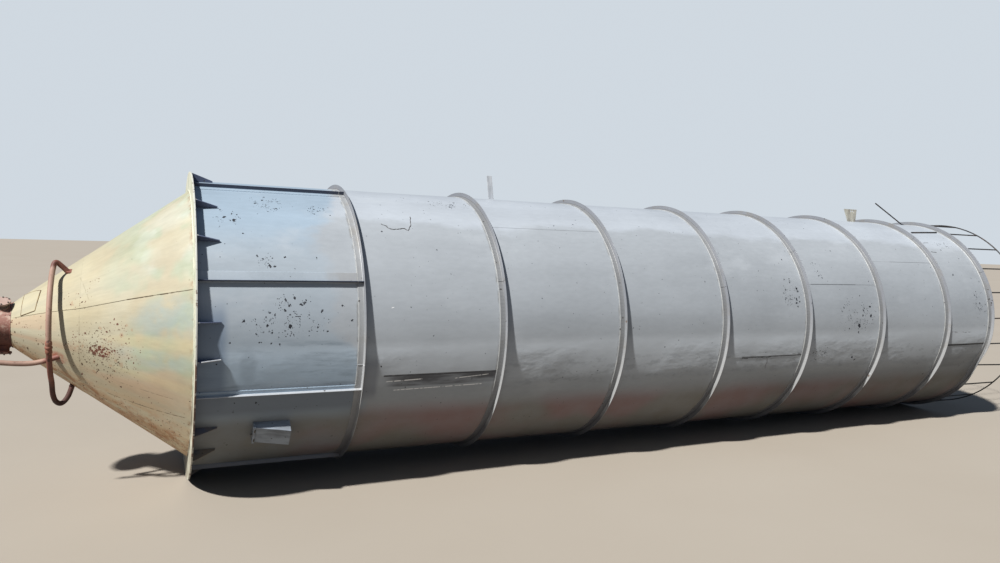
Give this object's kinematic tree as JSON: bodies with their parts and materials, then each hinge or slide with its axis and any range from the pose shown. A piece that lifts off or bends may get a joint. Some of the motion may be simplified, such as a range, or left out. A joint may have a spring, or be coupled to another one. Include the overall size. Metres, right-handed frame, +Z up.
{
  "type": "grain silo",
  "caption": "Ribbed steel storage silo lying on its side, with a discharge cone, support ring, air pipes and a roof guard rail.",
  "frame": {"origin": "middle of the bounding box's underside, on the ground that the silo lies on", "axes": "+X along the silo from the discharge cone to the roof, +Z up, -Y towards the side with the box"},
  "size_m": [11.3824, 2.6642, 2.7816],
  "materials": {
    "shell_paint": "worn satin silver-grey paint with scuffs and chips",
    "ring_paint": "worn satin silver-grey paint over angle steel",
    "support_paint": "pale weathered paint with chips",
    "cone_paint": "chalky cream paint with rust stains",
    "red_oxide": "faded matt red-oxide primer",
    "rail_steel": "dark weathered bar"
  },
  "bodies": {
    "root": {"shell_course_1": "shell_paint", "shell_course_2": "shell_paint", "shell_course_3": "shell_paint", "shell_course_4": "shell_paint", "shell_course_5": "shell_paint", "shell_course_6": "shell_paint", "shell_course_7": "shell_paint", "shell_course_8": "shell_paint", "stiffener_ring_1": "ring_paint", "stiffener_ring_2": "ring_paint", "stiffener_ring_3": "ring_paint", "stiffener_ring_4": "ring_paint", "stiffener_ring_5": "ring_paint", "stiffener_ring_6": "ring_paint", "stiffener_ring_7": "ring_paint", "roof_edge_ring": "ring_paint", "stiffener_bar_1": "ring_paint", "stiffener_bar_2": "ring_paint", "stiffener_bar_3": "ring_paint", "stiffener_bar_4": "ring_paint", "stiffener_bar_5": "ring_paint", "stiffener_bar_6": "ring_paint", "stiffener_bar_7": "ring_paint", "stiffener_bar_8": "ring_paint", "support_ring": "support_paint", "cone_upper_course": "cone_paint", "cone_lower_course": "cone_paint", "cone_patch_plate": "cone_paint", "outlet_neck": "red_oxide", "outlet_flange": "red_oxide", "outlet_upper_nozzle": "red_oxide", "outlet_lower_nozzle": "red_oxide", "air_manifold": "red_oxide", "manifold_union": "red_oxide", "air_feed_pipe": "red_oxide", "side_box": "shell_paint", "guide_lug": "ring_paint", "lifting_lug": "ring_paint", "stay_rod": "rail_steel", "roof_plate": "shell_paint", "roof_hatch": "shell_paint", "guard_rail": "rail_steel"}
  },
  "joints": []
}
